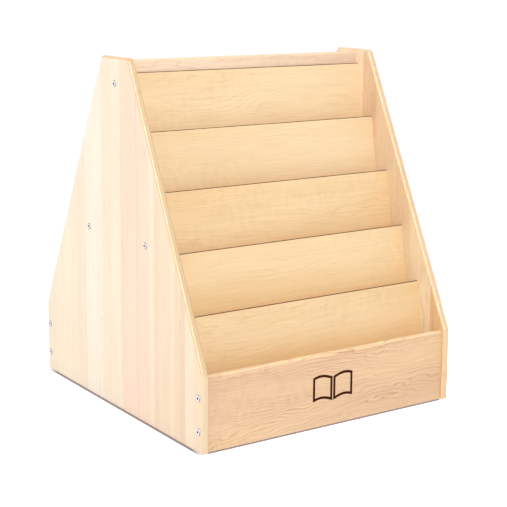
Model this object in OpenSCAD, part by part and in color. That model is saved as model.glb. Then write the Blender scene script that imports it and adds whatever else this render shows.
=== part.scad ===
// Double-sided book display stand for a library.
// Two solid end panels are bolted to a top rail, two middle rails and two fascias.
// On each side, leaning tier panels slide into grooves in the end panels. Every tier panel
// is the back of a pocket, and a ledge at its foot is the pocket's floor.
// X runs across the stand, -Y is the front and Z is up from the floor.

/* [Overall size] */
// Width over the outer faces of the end panels
stand_width = 762; // [600:1:1000]
// Depth of the end panels at the floor
stand_depth = 822; // [800:1:880]
// Height of the end panels
stand_height = 898; // [885:1:930]

/* [End panels] */
// Thickness of the solid boards
board_thickness = 19; // [18:0.5:22]
// Depth of an end panel along its flat top
top_width = 136; // [120:1:170]
// Height of the upright part of an end panel's front edge
knee_height = 187; // [170:1:205]
// Radius of the two top corners
top_corner_radius = 13; // [5:1:25]
// Radius where the sloping edge meets the upright one
knee_radius = 10; // [4:1:20]
// Radius of the corners at the floor
floor_corner_radius = 3; // [1:0.5:6]
// Depth of the grooves that hold the tier panels
groove_depth = 6; // [4:0.5:8]

/* [Tiers] */
// Thickness of a tier panel
panel_thickness = 6.4; // [5:0.1:8]
// Lean of the tier panels back from upright, in degrees
lean = 9; // [7:0.5:11]
// Drop from one tier panel's top edge to the next
tier_drop = 140; // [132:1:142]
// Step forward from one tier panel's top edge to the next
tier_step = 68; // [60:1:70]
// Drop from the top of the end panels to the first tier panel's top edge
first_tier_drop = 39; // [34:1:44]
// Depth of a pocket below the top edge of the panel in front of it
pocket_depth = 64; // [55:1:70]
// Thickness of a pocket's ledge
ledge_thickness = 12; // [9:0.5:14]
// Radius of the eased top edges of a tier panel
panel_easing = 2.2; // [0.5:0.1:2.4]

/* [Rails and fascias] */
// Thickness of the top rail
top_rail_thickness = 38; // [30:1:40]
// Height of the top rail
top_rail_height = 114; // [90:1:120]
// Drop from the top of the end panels to the top of the top rail
top_rail_drop = 9; // [4:1:14]
// Height of a middle rail
middle_rail_height = 94; // [70:1:94]
// Height of a middle rail's centre above the floor
middle_rail_centre_z = 450; // [440:1:450]
// Distance of a middle rail's centre from the middle of the stand
middle_rail_centre_y = 147; // [144:1:149]
// Height of a fascia
fascia_height = 184; // [160:1:190]
// Recess of a fascia behind the end panels' upright edge
fascia_recess = 9.5; // [4:0.5:14]
// Radius of the rounded upper edges of the rails and fascias
edge_radius = 6; // [2:0.5:8]

/* [Fasteners] */
// Diameter of a connector bolt's shank
bolt_diameter = 6; // [5:0.5:7]
// Diameter of a connector bolt's head
bolt_head_diameter = 17; // [14:0.5:19]
// Height of a connector bolt's head
bolt_head_height = 2.4; // [1.8:0.1:3]
// Width across the flats of the hexagon socket
socket_flats = 5; // [4:0.5:6]
// Distance between a fascia's two bolts
fascia_bolt_spacing = 82; // [60:1:90]
// Diameter of a barrel nut
nut_diameter = 10; // [9:0.5:11]
// Diameter of an alignment dowel
dowel_diameter = 8; // [6:0.5:9]

/* [Hidden] */
tiers = 5;
SIDES = ["front", "back"];
ENDS = ["left", "right"];

end_panel_maple = "#f3dfc4";
rail_maple = "#ecc9a5";
veneer_maple = "#f0d3a6";
ledge_maple = "#e6c79d";
bright_steel = "#c8c8cc";
nut_steel = "#a9a9a2";
dowel_beech = "#d9b98c";

arc_steps = 6;            // straight pieces in each rounded edge
round_sides = 48;         // smoothness of the drilled and turned parts
slip = 0.5;               // gap between the first tier panel and the top rail
past = 1;                 // how far a cutter runs past the face that it cuts

half_width = stand_width / 2;
half_depth = stand_depth / 2;
inner_half_width = half_width - board_thickness;
inner_width = 2 * inner_half_width;

// Tier panels and pockets. Lengths along a panel are measured down from its top edge.
pitch_down = tier_drop * cos(lean) + tier_step * sin(lean);
pitch_out = tier_step * cos(lean) - tier_drop * sin(lean);
pocket_gap = pitch_out - panel_thickness;
ledge_top = pitch_down + pocket_depth;
tier_length = ledge_top + ledge_thickness;
first_tier_y = top_rail_thickness / 2 + slip + panel_thickness * cos(lean);
function tier_y(i) = -first_tier_y - (i - 1) * tier_step;
function tier_z(i) = stand_height - first_tier_drop - (i - 1) * tier_drop;

// Rails and fascias
top_rail_z = stand_height - top_rail_drop;
fascia_front_y = -half_depth + fascia_recess;
fascia_back_y = fascia_front_y + board_thickness;
fascia_centre_y = fascia_front_y + board_thickness / 2;
lowest_ledge_reach = 90;  // more than the lowest pocket's gap, before the fascia trims it

// Bolts, barrel nuts and dowels. Points are [y, z].
bolt_reach = 36;          // length of a bolt inside a rail
nut_inset = 31;           // from a rail's end to its barrel nut
nut_length = 14;
bolt_clearance = 1;
head_chamfer = 0.8;
socket_depth = 1.8;
nut_slot_width = 1.4;
nut_slot_depth = 1.2;
nut_cover = 2.5;          // wood left beyond the blind end of a nut's cross bore
dowel_length = 38;
dowel_in_panel = 12;
dowel_chamfer = 1.5;
dowel_end_gap = 0.5;
dowel_offset_in_top_rail = 34;
dowel_offset_in_middle_rail = 28;

top_rail_point = [0, top_rail_z - top_rail_height / 2];
function middle_rail_point(s) = [s * middle_rail_centre_y, middle_rail_centre_z];
function fascia_points(s) = [
    for (k = [-1, 1]) [-s * fascia_centre_y, (fascia_height + k * fascia_bolt_spacing) / 2]
];
bolt_points = concat(
    [top_rail_point, middle_rail_point(-1), middle_rail_point(1)],
    fascia_points(-1),
    fascia_points(1)
);
dowel_points = concat(
    [for (k = [-1, 1]) top_rail_point + [0, k * dowel_offset_in_top_rail]],
    [for (s = [-1, 1], k = [-1, 1]) middle_rail_point(s) + [0, k * dowel_offset_in_middle_rail]]
);

// Points of the arc that rounds the corner at p, between the corners a and b, anticlockwise
function corner_arc(a, p, b, r) =
    let (
        to_a = (a - p) / norm(a - p),
        to_b = (b - p) / norm(b - p),
        half_angle = acos(to_a * to_b) / 2,
        bisector = (to_a + to_b) / norm(to_a + to_b),
        centre = p + bisector * r / sin(half_angle),
        start = p + to_a * r / tan(half_angle) - centre,
        start_angle = atan2(start[1], start[0]),
        turn = 180 - 2 * half_angle
    )
    [for (k = [0 : arc_steps])
        centre + r * [cos(start_angle + turn * k / arc_steps), sin(start_angle + turn * k / arc_steps)]];

// An outline of corners, each rounded to its own radius
function rounded_outline(corners, radii) = [
    for (k = [0 : len(corners) - 1])
        let (n = len(corners))
        for (q = corner_arc(corners[(k + n - 1) % n], corners[k], corners[(k + 1) % n], radii[k])) q
];

// A board's cross-section, with its lower corner at the origin and its upper edges rounded
module board_section(thickness, height, radius) {
    corners = [[0, 0], [thickness, 0], [thickness, height], [0, height]];
    top = [for (k = [2, 3])
        each corner_arc(corners[k - 1], corners[k], corners[(k + 1) % 4], radius)];
    polygon(concat([corners[0], corners[1]], top));
}

// Stretches a [y, z] section evenly to both sides of the stand's middle
module along_x(length) {
    rotate([90, 0, 90])
        linear_extrude(height = length, center = true)
            children();
}

// Places a child that is drawn at the front or at the right
module on_side(s) mirror([0, s == "back" ? 1 : 0, 0]) children();
module on_end(e) mirror([e == "left" ? 1 : 0, 0, 0]) children();
module on_both_ends() for (e = ENDS) on_end(e) children();

// A round bar along X from x1 to x2 through the point [y, z]
module bar_x(point, diameter, x1, x2) {
    translate([x1, point[0], point[1]])
        rotate([0, 90, 0])
            cylinder(d = diameter, h = x2 - x1, $fn = round_sides);
}

// A round bar along Y from y1 to y2 at height z
module bar_y(x, z, diameter, y1, y2) {
    translate([x, y1, z])
        rotate([-90, 0, 0])
            cylinder(d = diameter, h = y2 - y1, $fn = round_sides);
}

module end_panel_blank() {
    corners = [
        [-half_depth, 0], [half_depth, 0], [half_depth, knee_height],
        [top_width / 2, stand_height], [-top_width / 2, stand_height], [-half_depth, knee_height]
    ];
    radii = [
        floor_corner_radius, floor_corner_radius, knee_radius,
        top_corner_radius, top_corner_radius, knee_radius
    ];
    translate([inner_half_width + board_thickness / 2, 0, 0])
        along_x(board_thickness)
            polygon(rounded_outline(corners, radii));
}

module end_panel(e) {
    color(end_panel_maple)
        on_end(e)
            difference() {
                end_panel_blank();
                for (s = SIDES, i = [1 : tiers])
                    on_side(s) tier_panel_blank(i);
                for (p = bolt_points)
                    bar_x(p, bolt_diameter + bolt_clearance, inner_half_width - past, half_width + past);
                for (p = dowel_points)
                    bar_x(p, dowel_diameter, inner_half_width - past,
                        inner_half_width + dowel_in_panel + dowel_end_gap);
            }
}

// The bores in a rail's end for a connector bolt, and across it for the barrel nut.
// The nut's bore starts at open_y and stops short of the opposite face.
module bolt_bores(point, open_y, blind_y) {
    on_both_ends() {
        bar_x(point, bolt_diameter + bolt_clearance,
            inner_half_width - bolt_reach - bolt_clearance, inner_half_width + past);
        bar_y(inner_half_width - nut_inset, point[1], nut_diameter,
            min(open_y, blind_y), max(open_y, blind_y));
    }
}

module dowel_bore(point) {
    on_both_ends()
        bar_x(point, dowel_diameter,
            inner_half_width - dowel_length + dowel_in_panel - dowel_end_gap,
            inner_half_width + past);
}

module top_rail() {
    half = top_rail_thickness / 2;
    color(rail_maple)
        difference() {
            translate([0, -half, top_rail_z - top_rail_height])
                along_x(inner_width)
                    board_section(top_rail_thickness, top_rail_height, edge_radius);
            bolt_bores(top_rail_point, half + past, -nut_length / 2);
            for (k = [0, 1])
                dowel_bore(dowel_points[k]);
        }
}

module middle_rail(s) {
    half = board_thickness / 2;
    centre = middle_rail_point(-1);
    color(rail_maple)
        on_side(s)
            difference() {
                translate([0, centre[0] - half, centre[1] - middle_rail_height / 2])
                    along_x(inner_width)
                        square([board_thickness, middle_rail_height]);
                bolt_bores(centre, centre[0] + half + past, centre[0] - half + nut_cover);
                for (k = [-1, 1])
                    dowel_bore(centre + [0, k * dowel_offset_in_middle_rail]);
            }
}

module fascia(s) {
    color(rail_maple)
        on_side(s)
            difference() {
                translate([0, fascia_front_y, 0])
                    along_x(inner_width)
                        board_section(board_thickness, fascia_height, edge_radius);
                for (p = fascia_points(1))
                    bolt_bores([fascia_centre_y, p[1]], fascia_back_y + past,
                        fascia_front_y + nut_cover);
            }
}

// A tier's own frame: its top edge at the origin, its front face in the XZ plane
module at_tier(i) {
    translate([0, tier_y(i), tier_z(i)])
        rotate([-lean, 0, 0])
            children();
}

module tier_panel_blank(i) {
    at_tier(i)
        translate([0, 0, -tier_length])
            along_x(inner_width + 2 * groove_depth)
                board_section(panel_thickness, tier_length, panel_easing);
}

module tier_panel(s, i) {
    color(veneer_maple)
        on_side(s)
            tier_panel_blank(i);
}

// A ledge reaches from its tier panel's face to the back of the next panel. The lowest one
// reaches to the fascia, and is trimmed along it.
module pocket_ledge(s, i) {
    reach = i < tiers ? pocket_gap : lowest_ledge_reach;
    color(ledge_maple)
        on_side(s)
            difference() {
                at_tier(i)
                    translate([-inner_half_width, -reach, -tier_length])
                        cube([inner_width, reach, ledge_thickness]);
                if (i == tiers)
                    translate([-half_width, fascia_back_y - 2 * lowest_ledge_reach, 0])
                        cube([stand_width, 2 * lowest_ledge_reach, fascia_height]);
            }
}

module connector_bolt(point) {
    straight = bolt_head_height - head_chamfer;
    difference() {
        union() {
            bar_x(point, bolt_diameter, inner_half_width - bolt_reach, half_width + head_chamfer);
            bar_x(point, bolt_head_diameter, half_width, half_width + straight);
            translate([half_width + straight, point[0], point[1]])
                rotate([0, 90, 0])
                    cylinder(d1 = bolt_head_diameter, d2 = bolt_head_diameter - 2 * head_chamfer,
                        h = head_chamfer, $fn = round_sides);
        }
        translate([half_width + bolt_head_height - socket_depth, point[0], point[1]])
            rotate([0, 90, 0])
                cylinder(d = socket_flats / cos(30), h = socket_depth + past, $fn = 6);
    }
}

module connector_bolts(e) {
    color(bright_steel)
        on_end(e)
            for (p = bolt_points)
                connector_bolt(p);
}

// The slotted end of a nut faces the side that its cross bore is drilled from
module barrel_nut(point, slot_towards) {
    x = inner_half_width - nut_inset;
    half = nut_length / 2;
    difference() {
        bar_y(x, point[1], nut_diameter, point[0] - half, point[0] + half);
        bar_x(point, bolt_diameter, x - nut_diameter, x + nut_diameter);
        translate([x, point[0] + slot_towards * half, point[1]])
            cube([nut_slot_width, 2 * nut_slot_depth, nut_diameter + past], center = true);
    }
}

module barrel_nuts() {
    color(nut_steel)
        on_both_ends() {
            for (p = bolt_points)
                barrel_nut(p, p[0] > 0 ? -1 : 1);
        }
}

module alignment_dowel(point) {
    inner_end = inner_half_width + dowel_in_panel - dowel_length;
    outer_end = inner_half_width + dowel_in_panel;
    bar_x(point, dowel_diameter, inner_end + dowel_chamfer, outer_end - dowel_chamfer);
    for (end = [inner_end, outer_end])
        translate([end, point[0], point[1]])
            mirror([end == inner_end ? 0 : 1, 0, 0])
                rotate([0, 90, 0])
                    cylinder(d1 = dowel_diameter - 2 * dowel_chamfer, d2 = dowel_diameter,
                        h = dowel_chamfer, $fn = round_sides);
}

module alignment_dowels() {
    color(dowel_beech)
        on_both_ends()
            for (p = dowel_points)
                alignment_dowel(p);
}

for (e = ENDS) {
    end_panel(e);
    connector_bolts(e);
}
top_rail();
barrel_nuts();
alignment_dowels();
for (s = SIDES) {
    middle_rail(s);
    fascia(s);
    for (i = [1 : tiers]) {
        tier_panel(s, i);
        pocket_ledge(s, i);
    }
}
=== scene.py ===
"""The looks of the book display stand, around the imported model. Metres, +Z up, -Y to the front."""

import math
import random

import bmesh
import bpy
from mathutils import Matrix, Vector


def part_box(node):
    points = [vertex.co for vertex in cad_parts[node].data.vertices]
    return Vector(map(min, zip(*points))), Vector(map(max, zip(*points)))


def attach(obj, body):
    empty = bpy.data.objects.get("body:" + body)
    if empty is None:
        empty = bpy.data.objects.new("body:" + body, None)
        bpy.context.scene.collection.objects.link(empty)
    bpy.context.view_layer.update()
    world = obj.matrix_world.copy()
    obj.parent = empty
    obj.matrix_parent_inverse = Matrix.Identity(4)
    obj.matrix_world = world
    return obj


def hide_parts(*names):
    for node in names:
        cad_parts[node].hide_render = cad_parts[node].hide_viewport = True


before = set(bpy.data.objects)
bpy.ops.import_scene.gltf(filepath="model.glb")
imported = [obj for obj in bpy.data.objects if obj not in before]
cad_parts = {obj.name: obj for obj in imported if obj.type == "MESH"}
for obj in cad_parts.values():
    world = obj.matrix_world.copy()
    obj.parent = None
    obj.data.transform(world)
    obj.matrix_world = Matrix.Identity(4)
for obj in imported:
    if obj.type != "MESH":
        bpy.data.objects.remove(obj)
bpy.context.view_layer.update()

BODY = "root"
SIDES = {"front": -1, "back": 1}
ENDS = {"left": -1, "right": 1}
TIERS = range(1, 6)

# Sizes that the frame's boxes don't give
LEAN = math.radians(9)            # lean of the tier panels
PANEL_THICKNESS = 0.0064
KNEE_HEIGHT = 0.187               # upright part of an end panel's edge
TOP_WIDTH = 0.136                 # depth of an end panel along its top
TOP_CORNER_RADIUS = 0.013
KNEE_RADIUS = 0.010
FLOOR_CORNER_RADIUS = 0.003
ROUND_OVER = 0.0062               # rounded edge of the end panels
FLOOR_EASING = 0.0015             # the same along the floor
SMALLEST_RADIUS = 0.0008
BOARD_EASING = 0.0008             # eased edges of the other boards
RAIL_EASING = 0.0012
GROOVE_SLACK = 0.00025            # gap between a tier panel and its groove
BOLT_HOLE = 0.007
BOLT_HOLE_SIDES = 32
BOLT_HOLE_DEPTH = 0.06            # more than an end panel's thickness
BOLT_GAP = 0.02                   # points of one bolt lie closer than this in [y, z]
SHARP_ANGLE = math.radians(35)    # edges that bend more than this stay sharp
BOLT_SHARP_ANGLE = math.radians(32)

# Camera at the photograph's viewing angle
CAMERA_PLACE = (-1.929, -2.887, 1.118)
CAMERA_YAW = math.radians(34.25)
CAMERA_PITCH = math.radians(10.35)
CAMERA_ROLL = math.radians(0.42)
CAMERA_LENS = 93.9
CAMERA_SHIFT = -0.0897

# Stage
FLOOR_LEVEL = -0.003
FLOOR_SIZE = 60
NEAR_WHITE = 2.4                  # the floor's white near the stand, where it takes shadows
FAR_WHITE = 1.03                  # farther off, hardly over white, so that outlines stay smooth
NEAR_REACH = 0.75                 # the one turns into the other between these distances
FAR_REACH = 1.2
DOME_RADIUS = 55
UNDERLAY_LEVEL = 0.9 * FLOOR_LEVEL
SHADOW_TONE = (0.33, 0.235, 0.23)
# How far the underlay's core and its faded rim lie inside the footprint, at an end panel's inner
# side, front, outer side, back and inner side, and at the fascia
UNDERLAY_INSETS = ((0, 0.05, 0, 0.05, 0, 0.001), (-0.001, 0.007, -0.006, 0.007, -0.001, -0.007))
WORLD_LIGHT = 0.84

WHITE = (1, 1, 1)


# ---------------------------------------------------------------- node helpers

def add_node(tree, kind, inputs=None, **settings):
    """Adds a shader or geometry node. inputs maps a socket's name or number to a value or a socket."""
    made = tree.nodes.new(kind)
    for name, value in settings.items():
        setattr(made, name, value)
    for key, value in (inputs or {}).items():
        socket = made.inputs[key]
        if isinstance(value, bpy.types.NodeSocket):
            tree.links.new(value, socket)
        else:
            socket.default_value = value
    return made


def maths(tree, operation, a, b=0.0):
    return add_node(tree, "ShaderNodeMath", {0: a, 1: b}, operation=operation).outputs[0]


def vector_maths(tree, operation, a, b):
    return add_node(tree, "ShaderNodeVectorMath", {0: a, 1: b}, operation=operation).outputs[0]


def mix_colour(tree, factor, a, b, blend="MIX"):
    """Mixes two colours. Sockets 6 and 7 take them, and output 2 gives the result."""
    colours = [value if isinstance(value, bpy.types.NodeSocket) else (*value, 1.0) for value in (a, b)]
    made = add_node(tree, "ShaderNodeMix", {0: factor, 6: colours[0], 7: colours[1]},
                    data_type="RGBA", blend_type=blend)
    return made.outputs[2]


def multiply_colours(tree, a, b):
    return mix_colour(tree, 1.0, a, b, "MULTIPLY")


def map_range(tree, value, low, high, to_low=0.0, to_high=1.0):
    made = add_node(tree, "ShaderNodeMapRange", {0: value, 1: low, 2: high, 3: to_low, 4: to_high})
    return made.outputs[0]


def noise(tree, vector, scale, detail=2.0, roughness=0.5):
    """Noise that is stretched by giving each axis its own scale, in cycles a metre."""
    placed = vector_maths(tree, "MULTIPLY", vector, scale)
    made = add_node(tree, "ShaderNodeTexNoise", {"Vector": placed, "Scale": 1.0, "Detail": detail,
                                                  "Roughness": roughness})
    return made.outputs["Fac"]


def bump(tree, height, strength, distance):
    made = add_node(tree, "ShaderNodeBump",
                    {"Height": height, "Strength": strength, "Distance": distance})
    return made.outputs[0]


def empty_material(name):
    material = bpy.data.materials.new(name)
    material.use_nodes = True
    material.node_tree.nodes.clear()
    return material, material.node_tree


def new_material(name):
    material, tree = empty_material(name)
    shader = add_node(tree, "ShaderNodeBsdfPrincipled")
    add_node(tree, "ShaderNodeOutputMaterial", {"Surface": shader.outputs[0]})
    return material, tree, shader


def set_shader(tree, shader, values):
    """Gives the shader's sockets a number each, or links a socket to them."""
    for name, value in values.items():
        if isinstance(value, bpy.types.NodeSocket):
            tree.links.new(value, shader.inputs[name])
        else:
            shader.inputs[name].default_value = value


def scaled(tone, share):
    return [part * share for part in tone]


# ---------------------------------------------------------------- wood

def piece_space(tree, origin, lean=0.0):
    """Coordinates in a piece's own frame: X along the stand, Y through the board, Z up its face."""
    place = add_node(tree, "ShaderNodeTexCoord").outputs["Object"]
    return add_node(tree, "ShaderNodeMapping",
                    {"Vector": place, "Location": origin, "Rotation": (lean, 0, 0)},
                    vector_type="TEXTURE").outputs[0]


def split(tree, vector):
    return add_node(tree, "ShaderNodeSeparateXYZ", {0: vector}).outputs


# Scales of the noises in a board, in cycles a metre: along its fibres, through it and across it
CLOUD_SCALE = (1.4, 9, 9)         # its lighter and darker parts
DRIFT_SCALE = (1.7, 7, 7)         # the wide swirl of its growth lines
RIPPLE_SCALE = (13, 44, 44)       # their small waves
PRESENCE_SCALE = (2.1, 14, 14)    # where they show
BOLD_SCALE = (2.2, 9, 9)          # where the bold ones show
CURL_SCALE = (70, 34, 34)         # curly figure
CURL_PLACE_SCALE = (3.1, 10, 10)  # where it shows
FIBRE_SCALE = (9, 420, 420)
FLECK_SCALE = (70, 900, 900)      # short fine marks
STREAK_SCALE = (24, 150, 150)     # brown streaks of a knotty board
STREAK_PLACE_SCALE = (2.6, 8, 8)  # where they show
KNOT_SCALE = (6, 20, 20)

THROUGH_SHARE = 0.5               # how fast growth lines pass through a board, beside across it
KNOT_PULL = 3.0                   # how many growth lines a knot draws round itself
KNOT_SPREAD = 0.28
KNOT_TONE = (0.52, 0.24, 0.12)
KNOT_DEPTH = 0.42
STREAK_TONE = (0.62, 0.34, 0.22)
STREAK_DEPTH = 0.20
LINE_SHARPNESS = 4.0
BOLD_SHARPNESS = 8.0
BOLD_SPACING = 3.2                # times the spacing of the fine lines
BOLD_SWIRL = 0.5                  # times their swirl
CURL_DEPTH = 0.10
FLECK_DEPTH = 0.3


def growth_lines(tree, grain, spacing, swirl, wave, sharpness, knots=None):
    """Growth rings where they meet the surface, as contour lines of a slow noise. 0 to 1."""
    axes = split(tree, grain)
    across = maths(tree, "ADD", axes["Z"], maths(tree, "MULTIPLY", axes["Y"], THROUGH_SHARE))
    turns = maths(tree, "DIVIDE", across, spacing)
    drift = noise(tree, grain, DRIFT_SCALE, 1.0, 0.4)
    turns = maths(tree, "ADD", turns, maths(tree, "MULTIPLY", drift, swirl))
    ripple = noise(tree, grain, RIPPLE_SCALE, 1.6, 0.5)
    turns = maths(tree, "ADD", turns, maths(tree, "MULTIPLY", ripple, wave))
    if knots is not None:
        turns = maths(tree, "ADD", turns, maths(tree, "MULTIPLY", knots, KNOT_PULL))
    return maths(tree, "POWER", maths(tree, "FRACT", turns), sharpness)


def pin_knots(tree, grain):
    """Small knots, a few to a board: 1 at a knot's eye, falling to 0 a few centimetres away."""
    placed = vector_maths(tree, "MULTIPLY", grain, KNOT_SCALE)
    cells = add_node(tree, "ShaderNodeTexVoronoi", {"Vector": placed, "Scale": 1.0, "Randomness": 1.0})
    near = map_range(tree, cells.outputs["Distance"], 0.0, KNOT_SPREAD, 1.0, 0.0)
    chosen = map_range(tree, split(tree, cells.outputs["Color"])["X"], 0.50, 0.54)
    return maths(tree, "MULTIPLY", near, chosen)


def add_bold_figure(tree, grain, colour, wood):
    """A few bold growth lines, and curly figure here and there."""
    bold = growth_lines(tree, grain, wood["spacing"] * BOLD_SPACING, wood["swirl"] * BOLD_SWIRL,
                        wood["wave"], BOLD_SHARPNESS)
    place = map_range(tree, noise(tree, grain, BOLD_SCALE), 0.44, 0.62)
    strength = maths(tree, "MULTIPLY", maths(tree, "MULTIPLY", bold, place), wood["bold_depth"])
    colour = mix_colour(tree, strength, colour, wood["line_tone"])
    curl = map_range(tree, noise(tree, grain, CURL_SCALE, 1.0, 0.4), 0.42, 0.66)
    place = map_range(tree, noise(tree, grain, CURL_PLACE_SCALE), 0.52, 0.62)
    curl = maths(tree, "MULTIPLY", curl, place)
    return mix_colour(tree, maths(tree, "MULTIPLY", curl, CURL_DEPTH), colour, wood["line_tone"])


def add_knots(tree, grain, colour, knots):
    """The knots' dark eyes, and brown streaks here and there."""
    eye = map_range(tree, knots, 0.74, 0.95, 0.0, KNOT_DEPTH)
    colour = mix_colour(tree, eye, colour, KNOT_TONE)
    streaks = map_range(tree, noise(tree, grain, STREAK_SCALE), 0.60, 0.72, 0.0, STREAK_DEPTH)
    place = map_range(tree, noise(tree, grain, STREAK_PLACE_SCALE), 0.46, 0.60)
    return mix_colour(tree, maths(tree, "MULTIPLY", streaks, place), colour, STREAK_TONE)


def wood_shading(tree, shader, grain, wood, coat, tint=None, knotty=False):
    """Wood under clear lacquer. grain has X along the fibres. wood is a name from WOODS. Gives the
    wood's colour, and sets the rest of the shader."""
    wood = dict(zip(WOOD_COLUMNS, WOODS[wood]))
    knots = pin_knots(tree, grain) if knotty else None
    cloud = map_range(tree, noise(tree, grain, CLOUD_SCALE, 3.0, 0.55), 0.34, 0.66)
    colour = mix_colour(tree, cloud, wood["light"], wood["dark"])
    lines = growth_lines(tree, grain, wood["spacing"], wood["swirl"], wood["wave"], LINE_SHARPNESS,
                         knots)
    presence = map_range(tree, noise(tree, grain, PRESENCE_SCALE), 0.40, 0.62, 0.1, 1.0)
    strength = maths(tree, "MULTIPLY", maths(tree, "MULTIPLY", lines, presence), wood["line_depth"])
    colour = mix_colour(tree, strength, colour, wood["line_tone"])
    if wood["bold_depth"]:
        colour = add_bold_figure(tree, grain, colour, wood)
    fibres = noise(tree, grain, FIBRE_SCALE, 3.0, 0.6)
    colour = multiply_colours(tree, colour, map_range(tree, fibres, 0.28, 0.72, 0.93, 1.05))
    fleck = map_range(tree, noise(tree, grain, FLECK_SCALE, 1.0), 0.68, 0.78, 0.0, FLECK_DEPTH)
    colour = mix_colour(tree, fleck, colour, wood["line_tone"])
    if knotty:
        colour = add_knots(tree, grain, colour, knots)
    if tint:
        colour = multiply_colours(tree, colour, tint)
    height = maths(tree, "SUBTRACT", fibres, maths(tree, "MULTIPLY", lines, 0.5))
    set_shader(tree, shader, {
        "Roughness": map_range(tree, fibres, 0.2, 0.8, 0.40, 0.52),
        "Normal": bump(tree, height, 0.1, 0.0003),
        "Specular IOR Level": 0.15,
        "Coat Weight": coat,
        "Coat Roughness": 0.07,
        "Coat IOR": 1.6})
    return colour


# The woods: light and dark tone, tone of their growth lines, the lines' spacing in metres, how much
# they swirl and wave, how strong they are, and how strong the few bold ones are
WOOD_COLUMNS = ("light", "dark", "line_tone", "spacing", "swirl", "wave", "line_depth", "bold_depth")
WOODS = {
    "rail": ((0.91, 0.68, 0.475), (0.85, 0.62, 0.435), (0.52, 0.26, 0.13),
             0.007, 20, 1.6, 0.30, 0.3),
    "fascia": ((0.89, 0.61, 0.355), (0.80, 0.54, 0.345), (0.48, 0.19, 0.085),
               0.0058, 24, 3.0, 0.74, 0.7),
    "veneer": ((0.91, 0.67, 0.39), (0.86, 0.605, 0.325), (0.62, 0.34, 0.14),
               0.0085, 24, 1.8, 0.21, 0.22),
    "ledge": ((0.84, 0.58, 0.35), (0.76, 0.50, 0.29), (0.50, 0.26, 0.12),
              0.008, 14, 1.4, 0.35, 0.0),
    "end_left": ((0.88, 0.742, 0.562), (0.85, 0.70, 0.517), (0.64, 0.38, 0.24),
                 0.009, 18, 1.4, 0.13, 0.0),
    "end_right": ((0.93, 0.79, 0.58), (0.88, 0.71, 0.50), (0.62, 0.30, 0.13),
                  0.008, 24, 2.2, 0.30, 0.3),
    "beech": ((0.70, 0.45, 0.27), (0.60, 0.36, 0.20), (0.40, 0.20, 0.09),
              0.004, 4, 1.4, 0.4, 0.0)}
# Painted light and shade on each tier panel: tints of its lower and upper part, from the top tier to
# the bottom one. The lower parts of the lower tiers are painted darker, as shade at the foot of their
# pockets, and the top tier is painted lighter
TIER_LIGHT_AND_SHADE = (
    ((0.99, 1.02, 1.08), (0.99, 1.02, 1.08)),
    ((0.975, 1.0, 1.04), (0.975, 1.0, 1.05)),
    ((0.975, 0.96, 0.94), (0.975, 0.965, 0.96)),
    ((0.975, 0.95, 0.88), (0.985, 0.995, 1.01)),
    ((0.965, 0.945, 0.865), (0.97, 0.975, 0.985)))
TIER_SHADE_GRADE = ("Z", 0.105, 0.15)   # where the painted shade of the lower part turns into the upper part's tint, up the panel
# Painted light and shade along the top rail and the fascias, from left to right: lighter at the left,
# where more light falls, and darker to the right
RAIL_LIGHT_SHADE_GRADE = ("X", -0.30, 0.30, (1.03, 1.06, 1.09), (0.96, 0.95, 0.96))
FASCIA_SHADE_GRADE = ("X", 0.10, 0.35, WHITE, (0.95, 0.93, 0.92))
# Painted light on their upward edges, lighter where the light from above falls
RAIL_TOP_LIGHT = (1.02, 1.03, 0.98)
FASCIA_TOP_LIGHT = (1.08, 1.17, 1.20)
BOARD_COAT = 0.12                 # how much lacquer shows on the boards
PANEL_COAT = 1.0                  # and on the end panels
CORE_TONES = ((0.12, 0.042, 0.018), (0.18, 0.07, 0.032))
INK_TONE = (0.055, 0.014, 0.007)
INK_WEAR = 3.5                    # how much lighter worn ink is


def graded_tint(tree, place, grade):
    """A tint that changes along an axis, which paints light and shade on the boards and the left end
    panel.
    grade is the axis, where the change starts and ends, and the tint at its start and its end."""
    axis, start, end, *tints = grade
    return mix_colour(tree, map_range(tree, split(tree, place)[axis], start, end), *tints)


def board_material(name, origin, wood, seed, lean=0.0, grade=None, painted_top_light=None):
    """A board with its grain along X. It may have painted light and shade graded along an axis, and
    painted light on its upward edge.
    """
    material, tree, shader = new_material(name)
    draw = random.Random(seed)
    shift = (draw.uniform(-9, 9), draw.uniform(-2, 2), draw.uniform(-2, 2))
    place = piece_space(tree, origin, lean)
    grain = vector_maths(tree, "ADD", place, shift)
    tint = graded_tint(tree, place, grade) if grade else None
    if painted_top_light:
        upwards = split(tree, add_node(tree, "ShaderNodeNewGeometry").outputs["Normal"])["Z"]
        tint = mix_colour(tree, map_range(tree, upwards, 0.2, 0.6), tint or WHITE, painted_top_light)
    colour = wood_shading(tree, shader, grain, wood, BOARD_COAT, tint)
    set_shader(tree, shader, {"Base Color": colour})
    return material


def core_material():
    """The dark core of a veneered panel, bare along its edges."""
    material, tree, shader = new_material("panel_core")
    chips = noise(tree, piece_space(tree, (0, 0, 0)), (300, 700, 700), 3.0, 0.6)
    colour = mix_colour(tree, map_range(tree, chips, 0.35, 0.65), *CORE_TONES)
    set_shader(tree, shader, {
        "Base Color": colour,
        "Normal": bump(tree, chips, 0.2, 0.0002),
        "Roughness": 0.9,
        "Specular IOR Level": 0.0})
    return material


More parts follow.
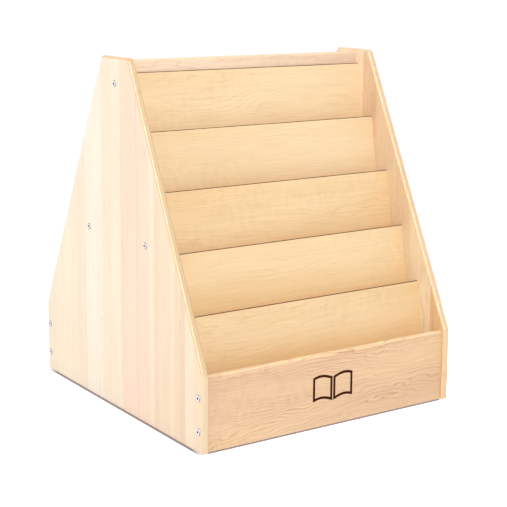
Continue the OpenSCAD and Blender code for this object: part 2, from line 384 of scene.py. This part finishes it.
# Staves of each end panel from the front edge to the back one: width in millimetres, and the tints
# of the equal bands of figure across them
LEFT_STAVES = (
    (75, (0.955, 0.885, 0.83), (0.975, 0.95, 0.92)),
    (48, (0.91, 0.80, 0.73), (0.94, 0.865, 0.785)),
    (98, (0.97, 0.955, 0.885), (0.955, 0.89, 0.83), (0.955, 0.89, 0.83), (0.935, 0.845, 0.775)),
    (84, (0.985, 0.95, 0.95), (0.985, 0.885, 0.87), (0.985, 0.885, 0.87), (0.985, 0.885, 0.87)),
    (78, (0.98, 0.88, 0.858)),
    (101, (0.975, 1.0, 1.0), (0.97, 0.968, 0.957)),
    (97, (1.0, 1.065, 1.13)),
    (89, (1.0, 0.975, 0.96), (1.0, 1.005, 0.995)),
    (77, (1.02, 1.037, 1.013)),
    (75, (0.99, 1.0, 0.98)))
# The right panel's front staves, which show on its inner face, are partly painted shade of that face:
# darker than its back staves
RIGHT_STAVES = (
    (57, (0.77, 0.61, 0.44)), (88, (0.865, 0.82, 0.75)), (80, (0.82, 0.73, 0.64)),
    (74, (0.823, 0.722, 0.644)), (58, (0.80, 0.665, 0.59)), (100, (0.96, 0.92, 0.88)),
    (86, (0.98, 0.95, 0.92)), (80, (1.0, 0.98, 0.96)), (102, (0.97, 0.94, 0.90)),
    (97, (1.0, 0.97, 0.94)))
STAVES = {"left": LEFT_STAVES, "right": RIGHT_STAVES}
# Painted shade at the left panel's foot: it is a little deeper in tone there than from 0.3 m up
FOOT_SHADE_GRADES = {"left": ("Z", 0.0, 0.3, (1.0, 0.945, 0.90), WHITE), "right": None}
GLUE_LINE = 0.0006
GLUE_TONE = (0.4, 0.22, 0.1)
GLUE_DEPTH = 0.22
STAVE_SHIFT = (7, 3, 3)           # how far apart the staves' figures may lie
ROUND_SHADE = (0.98, 0.93, 0.86)   # painted shade, deeper where the cut rounds over
# Tint of the edges of each end panel: the upright ones, and the sloping and level ones
EDGE_TINTS = {"left": ((0.93, 0.85, 0.72), (0.83, 0.69, 0.50)),
              "right": ((0.91, 0.80, 0.655), (0.88, 0.74, 0.60))}
# The level top has this tint over it as well: on the right panel a painted highlight, a pale band, and
# on the left a deeper amber
LEVEL_TINTS = {"left": (1.06, 0.95, 0.86), "right": (1.03, 1.12, 1.30)}


def stave_ramp(tree, across, stops, interpolation="CONSTANT"):
    """A colour ramp across the staves. Each stop is a place from 0 to 1 and a colour."""
    made = add_node(tree, "ShaderNodeValToRGB", {0: across})
    made.color_ramp.interpolation = interpolation
    elements = made.color_ramp.elements
    elements.remove(elements[0])
    elements[0].position = stops[0][0]
    elements[0].color = (*stops[0][1], 1)
    for position, colour in stops[1:]:
        elements.new(position).color = (*colour, 1)
    return made.outputs[0]


def edge_tint(tree, face_tint, end):
    """The face's tint, and amber along the edges, where the cuts show end grain, with painted shade on
    the rounds and a painted highlight along the right panel's level top. It goes by the parts of the
    surface's direction that point along X and up."""
    axes = split(tree, add_node(tree, "ShaderNodeNewGeometry").outputs["True Normal"])
    sideways = maths(tree, "ABSOLUTE", axes["X"])
    on_edge = map_range(tree, sideways, 0.999, 0.95)
    upwards = maths(tree, "ABSOLUTE", axes["Z"])
    tint = mix_colour(tree, map_range(tree, upwards, 0.1, 0.3), *EDGE_TINTS[end])
    tint = mix_colour(tree, map_range(tree, upwards, 0.45, 0.6), tint, LEVEL_TINTS[end], "MULTIPLY")
    tint = mix_colour(tree, map_range(tree, sideways, 0.2, 0.5), tint, ROUND_SHADE, "MULTIPLY")
    return mix_colour(tree, on_edge, face_tint, tint)


def stave_stops(staves, line, draw):
    """Stops for three colour ramps across the staves: their tints, three chances for each stave,
    and the glue lines between them."""
    total = sum(width for width, *_ in staves)
    black = (0, 0, 0)
    place, tints, chances, glue = 0.0, [], [], [(0.0, black)]
    for width, *bands in staves:
        for number, tint in enumerate(bands):
            tints.append((place + width / total * number / len(bands), tint))
        chances.append((place, [draw.random() for _ in range(3)]))
        if place > 0:
            glue += [(place - line, black), (place, WHITE), (place + line, black)]
        place += width / total
    return tints, chances, glue


def end_panel_material(end, outer_x, depth, seed):
    """Edge-glued upright staves, each with its own tone and figure."""
    material, tree, shader = new_material(f"end_panel_{end}")
    panel_space = piece_space(tree, (outer_x, 0, 0))
    axes = split(tree, panel_space)
    across = map_range(tree, axes["Y"], -depth / 2, depth / 2)
    tints, chances, glue = stave_stops(STAVES[end], GLUE_LINE / depth, random.Random(seed))
    tint = stave_ramp(tree, across, tints)
    if FOOT_SHADE_GRADES[end]:
        tint = multiply_colours(tree, tint, graded_tint(tree, panel_space, FOOT_SHADE_GRADES[end]))
    tint = edge_tint(tree, tint, end)
    grain = add_node(tree, "ShaderNodeCombineXYZ", {"X": axes["Z"], "Y": axes["X"], "Z": axes["Y"]})
    shift = vector_maths(tree, "MULTIPLY", stave_ramp(tree, across, chances), STAVE_SHIFT)
    grain = vector_maths(tree, "ADD", grain.outputs[0], shift)
    colour = wood_shading(tree, shader, grain, f"end_{end}", PANEL_COAT, tint, knotty=True)
    glue_line = maths(tree, "MULTIPLY", stave_ramp(tree, across, glue, "LINEAR"), GLUE_DEPTH)
    set_shader(tree, shader, {"Base Color": mix_colour(tree, glue_line, colour, GLUE_TONE)})
    return material


# ---------------------------------------------------------------- metal and ink

# Each steel: its tone and its roughness. The rim's and the socket's dark tones are painted shade:
# shade in the socket, and shade and a dark reflection round the head's rim
STEELS = {
    "bolt_steel": ((0.98, 0.97, 0.98), 0.24),
    "bolt_rim_shade": ((0.40, 0.36, 0.37), 0.34),
    "bolt_socket_shade": ((0.05, 0.05, 0.06), 0.5),
    "nut_steel": ((0.60, 0.60, 0.56), 0.35)}
SMUDGE_SHARE = 0.93               # how much of its tone a smudge leaves


def steel_material(name):
    material, tree, shader = new_material(name)
    tone, roughness = STEELS[name]
    place = piece_space(tree, (0, 0, 0))
    scratches = noise(tree, place, (900, 2600, 2600), 4.0, 0.7)
    smudge = noise(tree, place, (140, 140, 140), 3.0, 0.6)
    colour = mix_colour(tree, map_range(tree, smudge, 0.3, 0.7), tone, scaled(tone, SMUDGE_SHARE))
    set_shader(tree, shader, {
        "Base Color": colour,
        "Roughness": map_range(tree, scratches, 0.2, 0.8, roughness - 0.06, roughness + 0.1),
        "Normal": bump(tree, scratches, 0.08, 0.0001),
        "Metallic": 1.0})
    return material


def ink_material(name):
    """Brown ink, a little worn where the wood's fibres stand up."""
    material, tree, shader = new_material(name)
    place = piece_space(tree, (0, 0, 0))
    wear = map_range(tree, noise(tree, place, (60, 900, 900), 3.0, 0.7), 0.55, 0.8, 0.0, 0.35)
    set_shader(tree, shader, {
        "Base Color": mix_colour(tree, wear, INK_TONE, scaled(INK_TONE, INK_WEAR)),
        "Roughness": 0.7,
        "Specular IOR Level": 0.0})
    return material


# ---------------------------------------------------------------- mesh helpers

def make_object(name, builder):
    mesh = bpy.data.meshes.new(name)
    builder.normal_update()
    bmesh.ops.recalc_face_normals(builder, faces=builder.faces)
    builder.to_mesh(mesh)
    builder.free()
    made = bpy.data.objects.new(name, mesh)
    bpy.context.scene.collection.objects.link(made)
    return made


def smooth_below(mesh, angle):
    """Smooth shading, except across edges that bend more than this."""
    mesh.shade_smooth()
    mesh.set_sharp_from_angle(angle=angle)


def bridge(builder, ring, following):
    """A band of faces from a ring of points to the following one."""
    faces = []
    for k in range(len(ring)):
        after = (k + 1) % len(ring)
        faces.append(builder.faces.new((ring[k], ring[after], following[after], following[k])))
    return faces


def rounded_corner(before, corner, after, radius, steps=8):
    """Points of an arc that rounds a corner of an anticlockwise outline."""
    to_before = (before - corner).normalized()
    to_after = (after - corner).normalized()
    half = math.acos(max(-1, min(1, to_before.dot(to_after)))) / 2
    centre = corner + (to_before + to_after).normalized() * radius / math.sin(half)
    start = corner + to_before * radius / math.tan(half) - centre
    turn = math.pi - 2 * half
    points = []
    for k in range(steps + 1):
        angle = turn * k / steps
        points.append(centre + Vector((start.x * math.cos(angle) - start.y * math.sin(angle),
                                       start.x * math.sin(angle) + start.y * math.cos(angle))))
    return points


def inset_corners(corners, insets):
    """Moves each edge of an outline inwards by its own distance. insets[k] is for the edge from k."""
    count = len(corners)
    edges = []
    for k in range(count):
        along = (corners[(k + 1) % count] - corners[k]).normalized()
        inwards = Vector((-along.y, along.x))
        edges.append((corners[k] + inwards * insets[k], along))
    moved = []
    for k in range(count):
        (p, along), (q, after) = edges[k - 1], edges[k]
        across = along.x * after.y - along.y * after.x
        reach = ((q.x - p.x) * after.y - (q.y - p.y) * after.x) / across
        moved.append(p + along * reach)
    return moved


# ---------------------------------------------------------------- end panels

def end_panel_outline(depth, height, share):
    """The end panel's outline in [y, z], drawn in by a share of its rounded edges."""
    corners = [Vector(p) for p in (
        (-depth / 2, 0), (depth / 2, 0), (depth / 2, KNEE_HEIGHT),
        (TOP_WIDTH / 2, height), (-TOP_WIDTH / 2, height), (-depth / 2, KNEE_HEIGHT))]
    radii = [FLOOR_CORNER_RADIUS, FLOOR_CORNER_RADIUS, KNEE_RADIUS,
             TOP_CORNER_RADIUS, TOP_CORNER_RADIUS, KNEE_RADIUS]
    count = len(corners)
    insets = [share * (FLOOR_EASING if k == 0 else ROUND_OVER) for k in range(count)]
    corners = inset_corners(corners, insets)
    points = []
    for k in range(count):
        radius = max(radii[k] - share * ROUND_OVER, SMALLEST_RADIUS)
        points += rounded_corner(corners[k - 1], corners[k], corners[(k + 1) % count], radius)
    return points


def tier_cutter(side, tier):
    """A little more than a tier panel's space, for its groove."""
    low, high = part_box(f"tier_panel_{side}_{tier}")
    origin = tier_origin(side, tier)
    length = (high[2] - low[2] - PANEL_THICKNESS * math.sin(LEAN)) / math.cos(LEAN)
    builder = bmesh.new()
    bmesh.ops.create_cube(builder, size=1.0)
    across = high[0] - low[0] + 2 * GROOVE_SLACK
    thick = PANEL_THICKNESS + 2 * GROOVE_SLACK
    middle = Vector((0, -SIDES[side] * PANEL_THICKNESS / 2, length / 2 + GROOVE_SLACK))
    bmesh.ops.scale(builder, vec=(across, thick, length + 2 * GROOVE_SLACK), verts=builder.verts)
    bmesh.ops.translate(builder, vec=middle, verts=builder.verts)
    turned = Matrix.Translation(origin) @ Matrix.Rotation(SIDES[side] * LEAN, 4, "X")
    bmesh.ops.transform(builder, matrix=turned, verts=builder.verts)
    return make_object(f"cutter_{side}_{tier}", builder)


def bolt_cutter(centre):
    """A rod along X, for a bolt's hole through an end panel."""
    builder = bmesh.new()
    bmesh.ops.create_cone(builder, cap_ends=True, segments=BOLT_HOLE_SIDES, radius1=BOLT_HOLE / 2,
                          radius2=BOLT_HOLE / 2, depth=BOLT_HOLE_DEPTH)
    turned = Matrix.Translation(centre) @ Matrix.Rotation(math.pi / 2, 4, "Y")
    bmesh.ops.transform(builder, matrix=turned, verts=builder.verts)
    return make_object("cutter_bolt", builder)


def islands(points, gap):
    """Groups points that lie within a gap of each other in [y, z]."""
    groups = []
    for p in points:
        for group in groups:
            if abs(group[0].y - p.y) < gap and abs(group[0].z - p.z) < gap:
                group.append(p)
                break
        else:
            groups.append([p])
    return groups


def bolt_centres(end):
    """The centres of an end's bolts, from the CAD bolts' own points."""
    points = [v.co.copy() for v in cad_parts[f"connector_bolts_{end}"].data.vertices]
    centres = []
    for group in islands(points, BOLT_GAP):
        y = (min(p.y for p in group) + max(p.y for p in group)) / 2
        z = (min(p.z for p in group) + max(p.z for p in group)) / 2
        centres.append((y, z))
    return centres


def close_gaps(mesh):
    """Puts back any face that the cutting dropped at the end of a groove."""
    builder = bmesh.new()
    builder.from_mesh(mesh)
    bmesh.ops.holes_fill(builder, edges=[edge for edge in builder.edges if edge.is_boundary])
    bmesh.ops.recalc_face_normals(builder, faces=builder.faces)
    builder.to_mesh(mesh)
    builder.free()


def cut(target, cutters):
    """Takes the cutters out of the target, and applies the result to its mesh."""
    bpy.context.view_layer.update()
    for cutter in cutters:
        modifier = target.modifiers.new("cut", "BOOLEAN")
        modifier.operation = "DIFFERENCE"
        modifier.solver = "EXACT"
        modifier.object = cutter
    depsgraph = bpy.context.evaluated_depsgraph_get()
    result = bpy.data.meshes.new_from_object(target.evaluated_get(depsgraph))
    target.modifiers.clear()
    target.data = result
    close_gaps(result)
    for cutter in cutters:
        bpy.data.objects.remove(cutter)


def rounded_board(builder, low, high, steps=6):
    """An end panel with all its edges rounded over, as rings of points from one face to the other."""
    quarters = [k / steps for k in range(steps + 1)]
    levels = [(quarter, False) for quarter in reversed(quarters)]
    levels += [(quarter, True) for quarter in quarters]
    rings = []
    for quarter, far in levels:
        angle = quarter * math.pi / 2
        drop = ROUND_OVER * (1 - math.sin(angle))
        x = high[0] - drop if far else low[0] + drop
        outline = end_panel_outline(high[1] - low[1], high[2] - low[2], 1 - math.cos(angle))
        rings.append([builder.verts.new((x, p.x, p.y)) for p in outline])
    for ring, following in zip(rings, rings[1:]):
        bridge(builder, ring, following)
    builder.faces.new(rings[0])
    builder.faces.new(rings[-1])


def make_end_panel(end):
    """An end panel with rounded edges, grooves and bolt holes, which stands for the CAD's."""
    low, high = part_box(f"end_panel_{end}")
    builder = bmesh.new()
    rounded_board(builder, low, high)
    panel = make_object(f"rounded_end_panel_{end}", builder)
    middle_x = (low[0] + high[0]) / 2
    cutters = [tier_cutter(side, tier) for side in SIDES for tier in TIERS]
    cutters += [bolt_cutter(Vector((middle_x, y, z))) for y, z in bolt_centres(end)]
    cut(panel, cutters)
    smooth_below(panel.data, SHARP_ANGLE)
    outer_x = low[0] if end == "left" else high[0]
    material = end_panel_material(end, outer_x, high[1] - low[1], seed=11 + ENDS[end])
    panel.data.materials.clear()
    panel.data.materials.append(material)
    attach(panel, BODY)
    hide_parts(f"end_panel_{end}")


# ---------------------------------------------------------------- CAD nodes

MERGE_DISTANCE = 0.00001
EDGE_SLOPE = 0.4                  # a veneered panel's edges look up or down by more than this


def tier_origin(side, tier):
    """The lower corner of a tier panel's showing face, in the middle of its length."""
    low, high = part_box(f"tier_panel_{side}_{tier}")
    y = low[1] if side == "front" else high[1]
    return Vector((0, y, low[2] + PANEL_THICKNESS * math.sin(LEAN)))


def clean_up_group(name, edge_material=None):
    """Geometry nodes that join split corners and shade smooth below an angle. Faces that look
    well up or down get the edge material, if there is one."""
    group = bpy.data.node_groups.new(name, "GeometryNodeTree")
    group.interface.new_socket("Geometry", in_out="INPUT", socket_type="NodeSocketGeometry")
    group.interface.new_socket("Geometry", in_out="OUTPUT", socket_type="NodeSocketGeometry")
    start = add_node(group, "NodeGroupInput")
    joined = add_node(group, "GeometryNodeMergeByDistance",
                      {"Geometry": start.outputs[0], "Distance": MERGE_DISTANCE})
    plain = add_node(group, "GeometryNodeRemoveAttribute",
                     {"Geometry": joined.outputs[0], "Name": "custom_normal"})
    smooth = add_node(group, "GeometryNodeSetShadeSmooth",
                      {"Geometry": plain.outputs[0], "Shade Smooth": True}, domain="FACE")
    bend = add_node(group, "GeometryNodeInputMeshEdgeAngle")
    sharp = add_node(group, "FunctionNodeCompare",
                     {0: bend.outputs["Unsigned Angle"], 1: SHARP_ANGLE}, operation="GREATER_THAN")
    result = add_node(group, "GeometryNodeSetShadeSmooth",
                      {"Geometry": smooth.outputs[0], "Selection": sharp.outputs[0],
                       "Shade Smooth": False}, domain="EDGE")
    if edge_material:
        upwards = split(group, add_node(group, "GeometryNodeInputNormal").outputs[0])["Z"]
        on_edge = maths(group, "GREATER_THAN", maths(group, "ABSOLUTE", upwards), EDGE_SLOPE)
        result = add_node(group, "GeometryNodeSetMaterial",
                          {"Geometry": result.outputs[0], "Selection": on_edge,
                           "Material": edge_material})
    add_node(group, "NodeGroupOutput", {0: result.outputs[0]})
    return group


def dress_node(name, material, group, easing=0.0):
    """Gives a CAD node its material, smooth rounds and slightly eased edges."""
    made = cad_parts[name]
    made.data.materials.clear()
    made.data.materials.append(material)
    made.modifiers.new("clean_up", "NODES").node_group = group
    if easing:
        bevel = made.modifiers.new("easing", "BEVEL")
        bevel.width = easing
        bevel.segments = 2
        bevel.limit_method = "ANGLE"
        bevel.angle_limit = SHARP_ANGLE
        bevel.harden_normals = True


def dress_board(node, wood, seed, group, easing=BOARD_EASING, grade=None, painted_top_light=None):
    low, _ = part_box(node)
    origin = (0, low[1], low[2])
    material = board_material(node, origin, wood, seed, grade=grade, painted_top_light=painted_top_light)
    dress_node(node, material, group, easing)


def dress_boards(group):
    """Each board has a seed of its own, so that no two have the same grain."""
    dress_board("top_rail", "rail", 3, group, RAIL_EASING, RAIL_LIGHT_SHADE_GRADE, RAIL_TOP_LIGHT)
    panel_group = clean_up_group("clean_up_veneer", core_material())
    for side, sign in SIDES.items():
        dress_board(f"fascia_{side}", "fascia", 20 + sign, group, grade=FASCIA_SHADE_GRADE,
                    painted_top_light=FASCIA_TOP_LIGHT)
        dress_board(f"middle_rail_{side}", "rail", 30 + sign, group)
        for tier in TIERS:
            seed = 100 + 10 * sign + tier
            node = f"tier_panel_{side}_{tier}"
            veneer = board_material(node, tier_origin(side, tier), "veneer", seed, sign * LEAN,
                                    grade=(*TIER_SHADE_GRADE, *TIER_LIGHT_AND_SHADE[tier - 1]))
            dress_node(node, veneer, panel_group)
            dress_board(f"pocket_ledge_{side}_{tier}", "ledge", seed + 50, group, easing=0.0)


def dress_fasteners(group):
    dress_node("barrel_nuts", steel_material("nut_steel"), group)
    dress_node("alignment_dowels", board_material("dowel_beech", (0, 0, 0), "beech", 70), group)


# ---------------------------------------------------------------- connector bolts

# A bolt's half section, from its socket's floor round to its tip: depth below the crown and
# radius in millimetres, whether the ring is a hexagon, and the material of the face that follows
BOLT_RINGS = (
    (2.0, 2.5, True, "socket"), (0.55, 2.5, True, "socket"), (0.25, 3.1, False, "face"),
    (0.0, 4.4, False, "face"), (0.1, 6.2, False, "face"), (0.35, 7.4, False, "rim"),
    (0.75, 8.1, False, "rim"), (1.3, 8.45, False, "rim"), (2.4, 8.5, False, "rim"),
    (2.4, 3.0, False, "face"))
BOLT_TIP = ((0.8, 3.0), (0.0, 2.3))   # height above the bolt's tip and radius, in millimetres
BOLT_SIDES = 48
MILLIMETRE = 0.001


def bolt_ring(builder, x, radius, hexagonal, centre):
    """A ring of points round a bolt's axis. A hexagon's radius is that of its flats."""
    ring = []
    for k in range(BOLT_SIDES):
        angle = 2 * math.pi * k / BOLT_SIDES
        reach = radius
        if hexagonal:
            reach = radius / math.cos((angle % (math.pi / 3)) - math.pi / 6)
        ring.append(builder.verts.new((x, centre[0] + reach * math.cos(angle),
                                       centre[1] + reach * math.sin(angle))))
    return ring


def add_bolt(builder, crown_x, tip_x, centre, indices):
    """A wide-headed connector bolt along X, from its crown to its tip."""
    inwards = MILLIMETRE if tip_x > crown_x else -MILLIMETRE
    rows = [(crown_x + inwards * depth, radius * MILLIMETRE, hexagonal, indices[kind])
            for depth, radius, hexagonal, kind in BOLT_RINGS]
    rows += [(tip_x - inwards * height, radius * MILLIMETRE, False, indices["face"])
             for height, radius in BOLT_TIP]
    rings = [bolt_ring(builder, x, radius, hexagonal, centre) for x, radius, hexagonal, _ in rows]
    for (_, _, _, index), ring, following in zip(rows, rings, rings[1:]):
        for face in bridge(builder, ring, following):
            face.material_index = index
    builder.faces.new(rings[0]).material_index = indices["socket"]
    builder.faces.new(rings[-1]).material_index = indices["face"]


def make_bolts(end, materials):
    """The seven bolts of an end, as one piece that stands for the CAD's group."""
    node = f"connector_bolts_{end}"
    low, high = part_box(node)
    crown_x, tip_x = (low[0], high[0]) if end == "left" else (high[0], low[0])
    indices = {kind: number for number, kind in enumerate(materials)}
    builder = bmesh.new()
    for centre in bolt_centres(end):
        add_bolt(builder, crown_x, tip_x, centre, indices)
    bolts = make_object(f"turned_{node}", builder)
    for material in materials.values():
        bolts.data.materials.append(material)
    smooth_below(bolts.data, BOLT_SHARP_ANGLE)
    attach(bolts, BODY)
    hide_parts(node)


# ---------------------------------------------------------------- printed mark

# A plain open book in outline, as a generic mark on the front fascia, in metres
MARK_CENTRE = (0.005, 0.092)
PAGE_WIDTH, PAGE_HEIGHT = 0.060, 0.062
PAGE_SAG = 0.009
PAGE_HALF_WAVE = 0.85             # how much of a half wave a page's edge follows
STROKE = 0.0066
SPINE_GAP = 0.2 * STROKE          # from the stand's middle to each page
INK_FILM = 0.0001
INK_PROUD = 0.9 * INK_FILM        # how far the ink stands in front of the wood


def page_corners(side, steps=10):
    """A page's outline in [x, z] with its spine at x = 0, anticlockwise."""
    curve = []
    for k in range(steps + 1):
        t = k / steps
        curve.append((t * PAGE_WIDTH, PAGE_SAG * math.sin(math.pi * t * PAGE_HALF_WAVE)))
    outline = [Vector(p) for p in curve]
    outline += [Vector((x, z + PAGE_HEIGHT)) for x, z in reversed(curve)]
    if side < 0:
        outline = [Vector((-p.x, p.y)) for p in reversed(outline)]
    return outline


def add_prism(builder, outer, inner, front_y):
    """A flat ring between two outlines, a film thick."""
    layers = []
    for outline in (outer, inner):
        for y in (front_y, front_y + INK_FILM):
            layers.append([builder.verts.new((p.x, y, p.y)) for p in outline])
    for a, b in ((0, 2), (2, 3), (3, 1), (1, 0)):
        bridge(builder, layers[a], layers[b])


def make_mark():
    """The mark on the front fascia, as a film of ink."""
    low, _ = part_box("fascia_front")
    front_y = low[1] - INK_PROUD
    builder = bmesh.new()
    for side in (-1, 1):
        outline = page_corners(side)
        centre = Vector((MARK_CENTRE[0] + side * SPINE_GAP, MARK_CENTRE[1] - PAGE_HEIGHT / 2))
        inner = inset_corners(outline, [STROKE] * len(outline))
        add_prism(builder, [p + centre for p in outline], [p + centre for p in inner], front_y)
    mark = make_object("book_mark", builder)
    mark.data.materials.append(ink_material("mark_ink"))
    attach(mark, BODY)


# ---------------------------------------------------------------- stage, light and camera

def put_on_stage(stage_piece, material, in_reflections=True):
    """The camera sees a stage piece, and reflections may, but it neither lights nor shades the
    stand."""
    stage_piece.data.materials.append(material)
    stage_piece.visible_diffuse = False
    stage_piece.visible_glossy = in_reflections
    stage_piece.visible_shadow = False
    stage_piece.visible_transmission = False


def show_from_above(tree, surface):
    """Sends a surface to the material's output, and leaves it clear when seen from below."""
    behind = add_node(tree, "ShaderNodeNewGeometry").outputs["Backfacing"]
    clear = add_node(tree, "ShaderNodeBsdfTransparent")
    shown = add_node(tree, "ShaderNodeMixShader", {0: behind, 1: surface, 2: clear.outputs[0]})
    add_node(tree, "ShaderNodeOutputMaterial", {"Surface": shown.outputs[0]})


def make_floor():
    """A white floor, a hair below the stand, so that a thin line of shadow parts them. It takes
    shadows near the stand and glows an even white farther off."""
    builder = bmesh.new()
    bmesh.ops.create_grid(builder, x_segments=1, y_segments=1, size=FLOOR_SIZE)
    bmesh.ops.translate(builder, vec=(0, 0, FLOOR_LEVEL), verts=builder.verts)
    floor = make_object("floor", builder)
    material, tree = empty_material("floor")
    place = add_node(tree, "ShaderNodeTexCoord").outputs["Object"]
    away = add_node(tree, "ShaderNodeVectorMath", {0: place}, operation="LENGTH").outputs["Value"]
    near = map_range(tree, away, NEAR_REACH, FAR_REACH, NEAR_WHITE, 0.0)
    far = map_range(tree, away, NEAR_REACH, FAR_REACH, 0.0, FAR_WHITE)
    white = add_node(tree, "ShaderNodeBsdfDiffuse", {"Color": near})
    glow = add_node(tree, "ShaderNodeEmission", {"Strength": far})
    both = add_node(tree, "ShaderNodeAddShader", {0: white.outputs[0], 1: glow.outputs[0]})
    show_from_above(tree, both.outputs[0])
    put_on_stage(floor, material, in_reflections=False)


def footprint():
    """The stand's outline on the floor in [x, y]: both end panels and the fascias between them."""
    low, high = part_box("end_panel_right")
    inner, outer, deep = low[0], high[0], high[1]
    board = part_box("fascia_back")[1][1]
    corners = [(inner, -board), (inner, -deep), (outer, -deep),
               (outer, deep), (inner, deep), (inner, board)]
    return [Vector(p) for p in corners] + [-Vector(p) for p in corners]


def make_underlay():
    """A sheet just under the stand, dusky inside its footprint and fading to white round it, for
    the soft line of shadow at the floor."""
    builder = bmesh.new()
    fade = builder.verts.layers.float.new("fade")
    rings = []
    for share, insets in enumerate(UNDERLAY_INSETS):
        outline = inset_corners(footprint(), insets * 2)
        ring = [builder.verts.new((p.x, p.y, UNDERLAY_LEVEL)) for p in outline]
        for vert in ring:
            vert[fade] = share
        rings.append(ring)
    builder.faces.new(rings[0])
    bridge(builder, *rings)
    underlay = make_object("underlay", builder)
    if underlay.data.polygons[0].normal.z < 0:
        underlay.data.flip_normals()
    material, tree = empty_material("underlay")
    faded = add_node(tree, "ShaderNodeAttribute", attribute_name="fade").outputs["Fac"]
    tone = mix_colour(tree, faded, SHADOW_TONE, WHITE)
    glow = add_node(tree, "ShaderNodeEmission", {"Color": tone})
    show_from_above(tree, glow.outputs[0])
    put_on_stage(underlay, material)


def make_backdrop():
    """A white dome all round."""
    builder = bmesh.new()
    bmesh.ops.create_icosphere(builder, subdivisions=4, radius=DOME_RADIUS)
    dome = make_object("backdrop", builder)
    material, tree = empty_material("backdrop")
    glow = add_node(tree, "ShaderNodeEmission", {"Color": (*WHITE, 1), "Strength": FAR_WHITE})
    add_node(tree, "ShaderNodeOutputMaterial", {"Surface": glow.outputs[0]})
    put_on_stage(dome, material)


def area_light(name, place, target, width, height, share, lights=True, glints=True):
    """An area light that gives a facing surface at the target this share of full white. Without
    lights it only glints on lacquer and steel, and without glints it only lights."""
    data = bpy.data.lights.new(name, "AREA")
    data.shape = "RECTANGLE"
    data.size = width
    data.size_y = height
    towards = Vector(target) - Vector(place)
    data.energy = share * math.pi ** 2 * towards.length_squared
    light = bpy.data.objects.new(name, data)
    light.location = place
    light.rotation_mode = "QUATERNION"
    light.rotation_quaternion = towards.to_track_quat("-Z", "Y")
    light.visible_diffuse = lights
    light.visible_glossy = glints
    bpy.context.scene.collection.objects.link(light)


def make_lights():
    """Soft lights from the front, the left and behind, one that glints, and an even white world."""
    centre = (0, 0, 0.45)
    key_place = (-2.4, -3.6, 3.4)
    area_light("key", key_place, centre, 0.5, 2.4, 0.36)
    area_light("left", (-5.0, -1.0, 1.4), centre, 1.4, 1.8, 0.20, glints=False)
    area_light("back", (2.4, 3.6, 3.4), centre, 0.8, 2.4, 0.22, glints=False)
    area_light("slope_glint", key_place, centre, 1.0, 3.0, 0.6, lights=False)
    world = bpy.data.worlds.new("studio")
    world.use_nodes = True
    background = world.node_tree.nodes["Background"]
    background.inputs["Color"].default_value = (*WHITE, 1)
    background.inputs["Strength"].default_value = WORLD_LIGHT
    bpy.context.scene.world = world


def make_camera():
    """The camera looks along a yaw and a pitch, and is then rolled about its view."""
    data = bpy.data.cameras.new("camera")
    data.sensor_width = 36
    data.lens = CAMERA_LENS
    data.shift_y = CAMERA_SHIFT
    data.clip_end = 200
    camera = bpy.data.objects.new("camera", data)
    bpy.context.scene.collection.objects.link(camera)
    forward = Vector((math.sin(CAMERA_YAW) * math.cos(CAMERA_PITCH),
                      math.cos(CAMERA_YAW) * math.cos(CAMERA_PITCH), -math.sin(CAMERA_PITCH)))
    level = Vector((math.cos(CAMERA_YAW), -math.sin(CAMERA_YAW), 0))
    upright = level.cross(forward)
    right = level * math.cos(CAMERA_ROLL) + upright * math.sin(CAMERA_ROLL)
    up = right.cross(forward)
    turned = Matrix((right, up, -forward)).transposed().to_4x4()
    camera.matrix_world = Matrix.Translation(CAMERA_PLACE) @ turned
    bpy.context.scene.camera = camera


make_camera()
make_lights()
make_floor()
make_underlay()
make_backdrop()
plain_group = clean_up_group("clean_up")
dress_boards(plain_group)
dress_fasteners(plain_group)
# The rim's and socket's darker steels are painted shade on the bolt heads
bolt_materials = {
    "face": steel_material("bolt_steel"),
    "rim": steel_material("bolt_rim_shade"),
    "socket": steel_material("bolt_socket_shade")}
for end in ENDS:
    make_end_panel(end)
    make_bolts(end, bolt_materials)
make_mark()

bpy.context.scene.view_settings.view_transform = "Standard"
